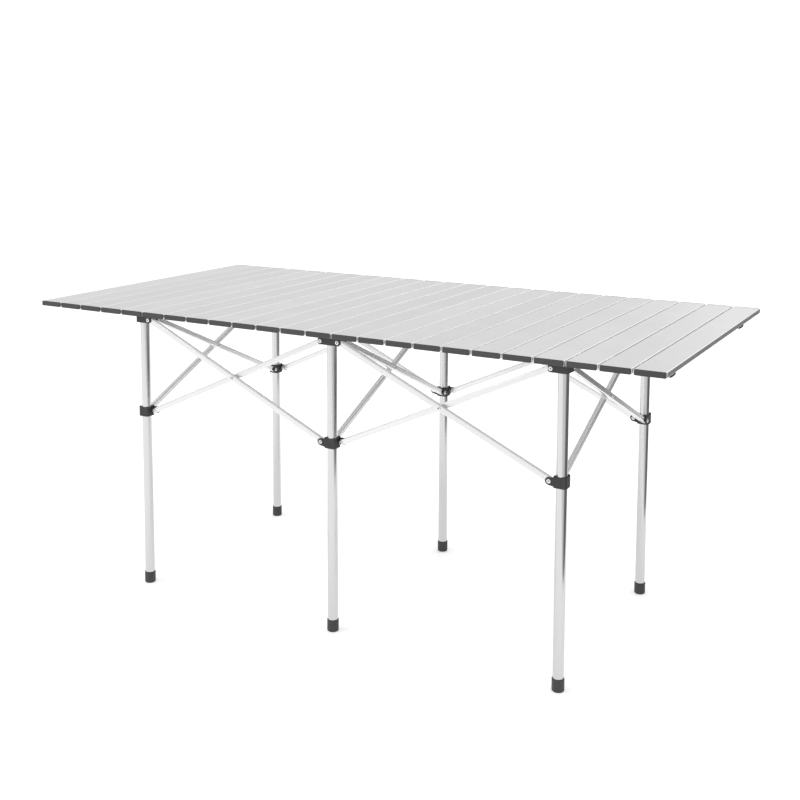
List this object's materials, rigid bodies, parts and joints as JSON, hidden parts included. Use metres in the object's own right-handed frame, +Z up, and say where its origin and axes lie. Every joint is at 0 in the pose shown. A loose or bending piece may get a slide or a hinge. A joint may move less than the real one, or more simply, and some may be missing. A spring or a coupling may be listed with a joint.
{
  "type": "folding picnic table",
  "caption": "Folding picnic table: a slatted aluminium top that lifts off and rolls up, on a frame of legs and scissor braces that folds into a bundle.",
  "frame": {"origin": "on the ground, under the middle of the tabletop", "axes": "+X along the length of the table, towards the end with the shorter overhang; +Y from the edge with the legs close under it to the edge that overhangs; +Z up"},
  "size_m": [1.3976, 0.7, 0.5902],
  "materials": {
    "slat_aluminium": "satin anodised, pale silver",
    "leg_aluminium": "satin anodised tube",
    "bar_aluminium": "satin anodised flat-sided tube",
    "black_plastic": "moulded, fine grain"
  },
  "bodies": {
    "leg_front_left": {"leg_front_left": "leg_aluminium", "hub_front_left": "black_plastic"},
    "leg_front_middle": {"leg_front_middle": "leg_aluminium", "hub_front_middle": "black_plastic"},
    "leg_front_right": {"leg_front_right": "leg_aluminium", "hub_front_right": "black_plastic"},
    "leg_back_left": {"leg_back_left": "leg_aluminium", "hub_back_left": "black_plastic"},
    "leg_back_middle": {"leg_back_middle": "leg_aluminium", "hub_back_middle": "black_plastic"},
    "leg_back_right": {"leg_back_right": "leg_aluminium", "hub_back_right": "black_plastic"},
    "collar_front_left": {"collar_front_left": "black_plastic"},
    "collar_front_middle": {"collar_front_middle": "black_plastic"},
    "collar_front_right": {"collar_front_right": "black_plastic"},
    "collar_back_left": {"collar_back_left": "black_plastic"},
    "collar_back_middle": {"collar_back_middle": "black_plastic"},
    "collar_back_right": {"collar_back_right": "black_plastic"},
    "brace_front_left_down": {"brace_front_left_down": "bar_aluminium"},
    "brace_front_left_up": {"brace_front_left_up": "bar_aluminium"},
    "brace_front_right_down": {"brace_front_right_down": "bar_aluminium"},
    "brace_front_right_up": {"brace_front_right_up": "bar_aluminium"},
    "brace_back_left_down": {"brace_back_left_down": "bar_aluminium"},
    "brace_back_left_up": {"brace_back_left_up": "bar_aluminium"},
    "brace_back_right_down": {"brace_back_right_down": "bar_aluminium"},
    "brace_back_right_up": {"brace_back_right_up": "bar_aluminium"},
    "brace_across_left_down": {"brace_across_left_down": "bar_aluminium"},
    "brace_across_left_up": {"brace_across_left_up": "bar_aluminium"},
    "brace_across_middle_down": {"brace_across_middle_down": "bar_aluminium"},
    "brace_across_middle_up": {"brace_across_middle_up": "bar_aluminium"},
    "brace_across_right_down": {"brace_across_right_down": "bar_aluminium"},
    "brace_across_right_up": {"brace_across_right_up": "bar_aluminium"},
    "slat_01": {"slat_01": "slat_aluminium", "edge_clip_left_front": "black_plastic", "edge_clip_left_back": "black_plastic"},
    "slat_02": {"slat_02": "slat_aluminium"},
    "slat_03": {"slat_03": "slat_aluminium"},
    "slat_04": {"slat_04": "slat_aluminium"},
    "slat_05": {"slat_05": "slat_aluminium"},
    "slat_06": {"slat_06": "slat_aluminium"},
    "slat_07": {"slat_07": "slat_aluminium"},
    "slat_08": {"slat_08": "slat_aluminium"},
    "slat_09": {"slat_09": "slat_aluminium"},
    "slat_10": {"slat_10": "slat_aluminium"},
    "slat_11": {"slat_11": "slat_aluminium"},
    "slat_12": {"slat_12": "slat_aluminium"},
    "slat_13": {"slat_13": "slat_aluminium"},
    "slat_14": {"slat_14": "slat_aluminium"},
    "slat_15": {"slat_15": "slat_aluminium"},
    "slat_16": {"slat_16": "slat_aluminium"},
    "slat_17": {"slat_17": "slat_aluminium"},
    "slat_18": {"slat_18": "slat_aluminium"},
    "slat_19": {"slat_19": "slat_aluminium"},
    "slat_20": {"slat_20": "slat_aluminium"},
    "slat_21": {"slat_21": "slat_aluminium"},
    "slat_22": {"slat_22": "slat_aluminium"},
    "slat_23": {"slat_23": "slat_aluminium"},
    "slat_24": {"slat_24": "slat_aluminium", "edge_clip_right_front": "black_plastic", "edge_clip_right_back": "black_plastic"}
  },
  "joints": [
    {"name": "frame_fold", "type": "hinge", "parent": "leg_front_middle", "child": "brace_front_right_down", "pos_m": [0.0695, -0.332, 0.573], "axis": [0, 1, 0], "range_deg": [0, 62.5]},
    {"name": "brace_front_right_centre_pivot", "type": "hinge", "parent": "brace_front_right_down", "child": "brace_front_right_up", "pos_m": [0.28375, -0.332, 0.475], "axis": [0, -1, 0], "range_deg": [0, 125]},
    {"name": "leg_front_right_pivot", "type": "hinge", "parent": "brace_front_right_up", "child": "leg_front_right", "pos_m": [0.498, -0.332, 0.573], "axis": [0, 1, 0], "range_deg": [0, 62.5]},
    {"name": "collar_front_right_pivot", "type": "hinge", "parent": "brace_front_right_down", "child": "collar_front_right", "pos_m": [0.498, -0.332, 0.377], "axis": [0, -1, 0], "range_deg": [0, 62.5]},
    {"name": "collar_front_middle_pivot", "type": "hinge", "parent": "brace_front_right_up", "child": "collar_front_middle", "pos_m": [0.0695, -0.332, 0.377], "axis": [0, 1, 0], "range_deg": [0, 62.5]},
    {"name": "brace_front_left_up_hub_pivot", "type": "hinge", "parent": "leg_front_middle", "child": "brace_front_left_up", "pos_m": [0.0315, -0.332, 0.573], "axis": [0, -1, 0], "range_deg": [0, 62.5]},
    {"name": "brace_front_left_centre_pivot", "type": "hinge", "parent": "brace_front_left_up", "child": "brace_front_left_down", "pos_m": [-0.18275, -0.332, 0.475], "axis": [0, 1, 0], "range_deg": [0, 125]},
    {"name": "leg_front_left_pivot", "type": "hinge", "parent": "brace_front_left_down", "child": "leg_front_left", "pos_m": [-0.397, -0.332, 0.573], "axis": [0, -1, 0], "range_deg": [0, 62.5]},
    {"name": "collar_front_left_pivot", "type": "hinge", "parent": "brace_front_left_up", "child": "collar_front_left", "pos_m": [-0.397, -0.332, 0.377], "axis": [0, 1, 0], "range_deg": [0, 62.5]},
    {"name": "brace_across_middle_down_hub_pivot", "type": "hinge", "parent": "leg_front_middle", "child": "brace_across_middle_down", "pos_m": [0.0505, -0.313, 0.573], "axis": [-1, 0, 0], "range_deg": [0, 62.5]},
    {"name": "brace_across_middle_centre_pivot", "type": "hinge", "parent": "brace_across_middle_down", "child": "brace_across_middle_up", "pos_m": [0.0505, -0.09875, 0.475], "axis": [1, 0, 0], "range_deg": [0, 125]},
    {"name": "leg_back_middle_pivot", "type": "hinge", "parent": "brace_across_middle_up", "child": "leg_back_middle", "pos_m": [0.0505, 0.1155, 0.573], "axis": [-1, 0, 0], "range_deg": [0, 62.5]},
    {"name": "collar_back_middle_pivot", "type": "hinge", "parent": "brace_across_middle_down", "child": "collar_back_middle", "pos_m": [0.0505, 0.1155, 0.377], "axis": [1, 0, 0], "range_deg": [0, 62.5]},
    {"name": "brace_across_left_down_hub_pivot", "type": "hinge", "parent": "leg_front_left", "child": "brace_across_left_down", "pos_m": [-0.416, -0.313, 0.573], "axis": [-1, 0, 0], "range_deg": [0, 62.5]},
    {"name": "brace_across_left_centre_pivot", "type": "hinge", "parent": "brace_across_left_down", "child": "brace_across_left_up", "pos_m": [-0.416, -0.09875, 0.475], "axis": [1, 0, 0], "range_deg": [0, 125]},
    {"name": "leg_back_left_pivot", "type": "hinge", "parent": "brace_across_left_up", "child": "leg_back_left", "pos_m": [-0.416, 0.1155, 0.573], "axis": [-1, 0, 0], "range_deg": [0, 62.5]},
    {"name": "collar_back_left_pivot", "type": "hinge", "parent": "brace_across_left_down", "child": "collar_back_left", "pos_m": [-0.416, 0.1155, 0.377], "axis": [1, 0, 0], "range_deg": [0, 62.5]},
    {"name": "brace_across_right_down_hub_pivot", "type": "hinge", "parent": "leg_front_right", "child": "brace_across_right_down", "pos_m": [0.517, -0.313, 0.573], "axis": [-1, 0, 0], "range_deg": [0, 62.5]},
    {"name": "brace_across_right_centre_pivot", "type": "hinge", "parent": "brace_across_right_down", "child": "brace_across_right_up", "pos_m": [0.517, -0.09875, 0.475], "axis": [1, 0, 0], "range_deg": [0, 125]},
    {"name": "leg_back_right_pivot", "type": "hinge", "parent": "brace_across_right_up", "child": "leg_back_right", "pos_m": [0.517, 0.1155, 0.573], "axis": [-1, 0, 0], "range_deg": [0, 62.5]},
    {"name": "collar_back_right_pivot", "type": "hinge", "parent": "brace_across_right_down", "child": "collar_back_right", "pos_m": [0.517, 0.1155, 0.377], "axis": [1, 0, 0], "range_deg": [0, 62.5]},
    {"name": "brace_back_left_up_hub_pivot", "type": "hinge", "parent": "leg_back_middle", "child": "brace_back_left_up", "pos_m": [0.0315, 0.1345, 0.573], "axis": [0, -1, 0], "range_deg": [0, 62.5]},
    {"name": "brace_back_left_centre_pivot", "type": "hinge", "parent": "brace_back_left_up", "child": "brace_back_left_down", "pos_m": [-0.18275, 0.1345, 0.475], "axis": [0, 1, 0], "range_deg": [0, 125]},
    {"name": "brace_back_right_down_hub_pivot", "type": "hinge", "parent": "leg_back_middle", "child": "brace_back_right_down", "pos_m": [0.0695, 0.1345, 0.573], "axis": [0, 1, 0], "range_deg": [0, 62.5]},
    {"name": "brace_back_right_centre_pivot", "type": "hinge", "parent": "brace_back_right_down", "child": "brace_back_right_up", "pos_m": [0.28375, 0.1345, 0.475], "axis": [0, -1, 0], "range_deg": [0, 125]},
    {"name": "tabletop_lift", "type": "slide", "parent": "leg_front_middle", "child": "slat_09", "axis": [0, 0, 1], "range_m": [0, 0.25]},
    {"name": "tabletop_roll", "type": "hinge", "parent": "slat_09", "child": "slat_10", "pos_m": [-0.175, 0, 0.59], "axis": [0, -1, 0], "range_deg": [0, 34.62]},
    {"name": "slat_10_to_11_bend", "type": "hinge", "parent": "slat_10", "child": "slat_11", "pos_m": [-0.11667, 0, 0.59], "axis": [0, -1, 0], "range_deg": [0, 35.7]},
    {"name": "slat_11_to_12_bend", "type": "hinge", "parent": "slat_11", "child": "slat_12", "pos_m": [-0.05833, 0, 0.59], "axis": [0, -1, 0], "range_deg": [0, 36.86]},
    {"name": "slat_12_to_13_bend", "type": "hinge", "parent": "slat_12", "child": "slat_13", "pos_m": [0, 0, 0.59], "axis": [0, -1, 0], "range_deg": [0, 38.14]},
    {"name": "slat_13_to_14_bend", "type": "hinge", "parent": "slat_13", "child": "slat_14", "pos_m": [0.05833, 0, 0.59], "axis": [0, -1, 0], "range_deg": [0, 39.54]},
    {"name": "slat_14_to_15_bend", "type": "hinge", "parent": "slat_14", "child": "slat_15", "pos_m": [0.11667, 0, 0.59], "axis": [0, -1, 0], "range_deg": [0, 41.09]},
    {"name": "slat_15_to_16_bend", "type": "hinge", "parent": "slat_15", "child": "slat_16", "pos_m": [0.175, 0, 0.59], "axis": [0, -1, 0], "range_deg": [0, 42.83]},
    {"name": "slat_16_to_17_bend", "type": "hinge", "parent": "slat_16", "child": "slat_17", "pos_m": [0.23333, 0, 0.59], "axis": [0, -1, 0], "range_deg": [0, 44.79]},
    {"name": "slat_17_to_18_bend", "type": "hinge", "parent": "slat_17", "child": "slat_18", "pos_m": [0.29167, 0, 0.59], "axis": [0, -1, 0], "range_deg": [0, 47.04]},
    {"name": "slat_18_to_19_bend", "type": "hinge", "parent": "slat_18", "child": "slat_19", "pos_m": [0.35, 0, 0.59], "axis": [0, -1, 0], "range_deg": [0, 49.64]},
    {"name": "slat_19_to_20_bend", "type": "hinge", "parent": "slat_19", "child": "slat_20", "pos_m": [0.40833, 0, 0.59], "axis": [0, -1, 0], "range_deg": [0, 52.72]},
    {"name": "slat_20_to_21_bend", "type": "hinge", "parent": "slat_20", "child": "slat_21", "pos_m": [0.46667, 0, 0.59], "axis": [0, -1, 0], "range_deg": [0, 56.42]},
    {"name": "slat_21_to_22_bend", "type": "hinge", "parent": "slat_21", "child": "slat_22", "pos_m": [0.525, 0, 0.59], "axis": [0, -1, 0], "range_deg": [0, 61.02]},
    {"name": "slat_22_to_23_bend", "type": "hinge", "parent": "slat_22", "child": "slat_23", "pos_m": [0.58333, 0, 0.59], "axis": [0, -1, 0], "range_deg": [0, 66.95]},
    {"name": "slat_23_to_24_bend", "type": "hinge", "parent": "slat_23", "child": "slat_24", "pos_m": [0.64167, 0, 0.59], "axis": [0, -1, 0], "range_deg": [0, 75.02]},
    {"name": "slat_08_to_09_bend", "type": "hinge", "parent": "slat_09", "child": "slat_08", "pos_m": [-0.23333, 0, 0.59], "axis": [0, 1, 0], "range_deg": [0, 33.64]},
    {"name": "slat_07_to_08_bend", "type": "hinge", "parent": "slat_08", "child": "slat_07", "pos_m": [-0.29167, 0, 0.59], "axis": [0, 1, 0], "range_deg": [0, 32.72]},
    {"name": "slat_06_to_07_bend", "type": "hinge", "parent": "slat_07", "child": "slat_06", "pos_m": [-0.35, 0, 0.59], "axis": [0, 1, 0], "range_deg": [0, 31.85]},
    {"name": "slat_05_to_06_bend", "type": "hinge", "parent": "slat_06", "child": "slat_05", "pos_m": [-0.40833, 0, 0.59], "axis": [0, 1, 0], "range_deg": [0, 31.03]},
    {"name": "slat_04_to_05_bend", "type": "hinge", "parent": "slat_05", "child": "slat_04", "pos_m": [-0.46667, 0, 0.59], "axis": [0, 1, 0], "range_deg": [0, 30.26]},
    {"name": "slat_03_to_04_bend", "type": "hinge", "parent": "slat_04", "child": "slat_03", "pos_m": [-0.525, 0, 0.59], "axis": [0, 1, 0], "range_deg": [0, 29.52]},
    {"name": "slat_02_to_03_bend", "type": "hinge", "parent": "slat_03", "child": "slat_02", "pos_m": [-0.58333, 0, 0.59], "axis": [0, 1, 0], "range_deg": [0, 28.79]},
    {"name": "slat_01_to_02_bend", "type": "hinge", "parent": "slat_02", "child": "slat_01", "pos_m": [-0.64167, 0, 0.59], "axis": [0, 1, 0], "range_deg": [0, 28.02]}
  ],
  "couplings": [
    {"joint": "brace_front_right_centre_pivot", "follows": "frame_fold", "ratio": 2},
    {"joint": "leg_front_right_pivot", "follows": "frame_fold", "ratio": 1},
    {"joint": "collar_front_right_pivot", "follows": "frame_fold", "ratio": 1},
    {"joint": "collar_front_middle_pivot", "follows": "frame_fold", "ratio": 1},
    {"joint": "brace_front_left_up_hub_pivot", "follows": "frame_fold", "ratio": 1},
    {"joint": "brace_front_left_centre_pivot", "follows": "frame_fold", "ratio": 2},
    {"joint": "leg_front_left_pivot", "follows": "frame_fold", "ratio": 1},
    {"joint": "collar_front_left_pivot", "follows": "frame_fold", "ratio": 1},
    {"joint": "brace_across_middle_down_hub_pivot", "follows": "frame_fold", "ratio": 1},
    {"joint": "brace_across_middle_centre_pivot", "follows": "frame_fold", "ratio": 2},
    {"joint": "leg_back_middle_pivot", "follows": "frame_fold", "ratio": 1},
    {"joint": "collar_back_middle_pivot", "follows": "frame_fold", "ratio": 1},
    {"joint": "brace_across_left_down_hub_pivot", "follows": "frame_fold", "ratio": 1},
    {"joint": "brace_across_left_centre_pivot", "follows": "frame_fold", "ratio": 2},
    {"joint": "leg_back_left_pivot", "follows": "frame_fold", "ratio": 1},
    {"joint": "collar_back_left_pivot", "follows": "frame_fold", "ratio": 1},
    {"joint": "brace_across_right_down_hub_pivot", "follows": "frame_fold", "ratio": 1},
    {"joint": "brace_across_right_centre_pivot", "follows": "frame_fold", "ratio": 2},
    {"joint": "leg_back_right_pivot", "follows": "frame_fold", "ratio": 1},
    {"joint": "collar_back_right_pivot", "follows": "frame_fold", "ratio": 1},
    {"joint": "brace_back_left_up_hub_pivot", "follows": "frame_fold", "ratio": 1},
    {"joint": "brace_back_left_centre_pivot", "follows": "frame_fold", "ratio": 2},
    {"joint": "brace_back_right_down_hub_pivot", "follows": "frame_fold", "ratio": 1},
    {"joint": "brace_back_right_centre_pivot", "follows": "frame_fold", "ratio": 2},
    {"joint": "slat_10_to_11_bend", "follows": "tabletop_roll", "ratio": 1.0308},
    {"joint": "slat_11_to_12_bend", "follows": "tabletop_roll", "ratio": 1.0644},
    {"joint": "slat_12_to_13_bend", "follows": "tabletop_roll", "ratio": 1.1012},
    {"joint": "slat_13_to_14_bend", "follows": "tabletop_roll", "ratio": 1.1416},
    {"joint": "slat_14_to_15_bend", "follows": "tabletop_roll", "ratio": 1.1865},
    {"joint": "slat_15_to_16_bend", "follows": "tabletop_roll", "ratio": 1.2366},
    {"joint": "slat_16_to_17_bend", "follows": "tabletop_roll", "ratio": 1.2934},
    {"joint": "slat_17_to_18_bend", "follows": "tabletop_roll", "ratio": 1.3582},
    {"joint": "slat_18_to_19_bend", "follows": "tabletop_roll", "ratio": 1.4335},
    {"joint": "slat_19_to_20_bend", "follows": "tabletop_roll", "ratio": 1.5223},
    {"joint": "slat_20_to_21_bend", "follows": "tabletop_roll", "ratio": 1.6294},
    {"joint": "slat_21_to_22_bend", "follows": "tabletop_roll", "ratio": 1.7622},
    {"joint": "slat_22_to_23_bend", "follows": "tabletop_roll", "ratio": 1.9334},
    {"joint": "slat_23_to_24_bend", "follows": "tabletop_roll", "ratio": 2.1664},
    {"joint": "slat_08_to_09_bend", "follows": "tabletop_roll", "ratio": 0.9713},
    {"joint": "slat_07_to_08_bend", "follows": "tabletop_roll", "ratio": 0.9446},
    {"joint": "slat_06_to_07_bend", "follows": "tabletop_roll", "ratio": 0.9196},
    {"joint": "slat_05_to_06_bend", "follows": "tabletop_roll", "ratio": 0.896},
    {"joint": "slat_04_to_05_bend", "follows": "tabletop_roll", "ratio": 0.8737},
    {"joint": "slat_03_to_04_bend", "follows": "tabletop_roll", "ratio": 0.8522},
    {"joint": "slat_02_to_03_bend", "follows": "tabletop_roll", "ratio": 0.8312},
    {"joint": "slat_01_to_02_bend", "follows": "tabletop_roll", "ratio": 0.8088}
  ]
}
